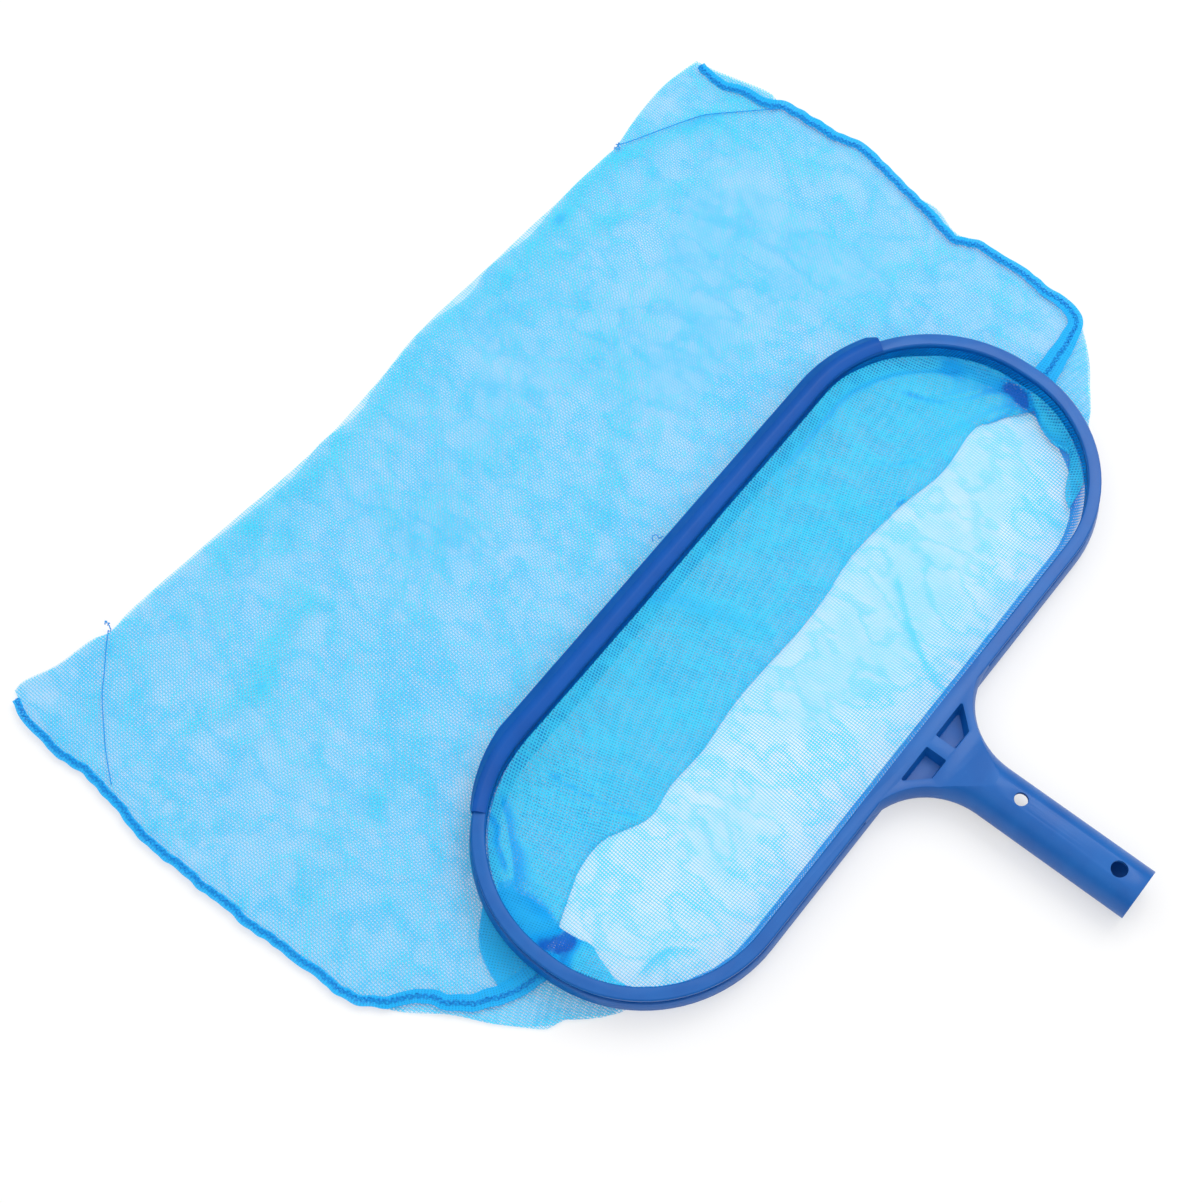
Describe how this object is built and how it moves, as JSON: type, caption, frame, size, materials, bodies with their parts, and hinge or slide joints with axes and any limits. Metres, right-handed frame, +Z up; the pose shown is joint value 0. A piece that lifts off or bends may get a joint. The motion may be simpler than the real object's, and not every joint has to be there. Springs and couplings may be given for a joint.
{
  "type": "leaf skimmer net",
  "caption": "Pool leaf skimmer: a blunt-ended oval hoop on a tubular pole spigot, with a clip-on scraping lip and a deep mesh bag lying collapsed.",
  "frame": {"origin": "centre of the spigot's mouth, on the spigot's axis", "axes": "+Y along the handle from the mouth to the hoop, +Z up out of the hoop's mouth, +X along the hoop; the part lies on a floor at the spigot's lowest line"},
  "size_m": [0.578, 0.529, 0.029],
  "materials": {
    "frame_plastic": "satin moulded polypropylene, mid blue",
    "lip_plastic": "soft extruded plastic, deep blue with a faint sheen",
    "net_mesh": "fine open polyester mesh, sky blue, see-through",
    "seam_mesh": "doubled mesh with overlock stitching"
  },
  "bodies": {
    "root": {"frame": "frame_plastic", "retaining_ring": "frame_plastic", "lip_strip": "lip_plastic", "mouth_hem": "seam_mesh", "net_front_panel": "net_mesh", "net_back_panel": "net_mesh", "side_seam_left": "seam_mesh", "side_seam_right": "seam_mesh", "corner_seam_left": "seam_mesh", "corner_seam_right": "seam_mesh"}
  },
  "joints": []
}
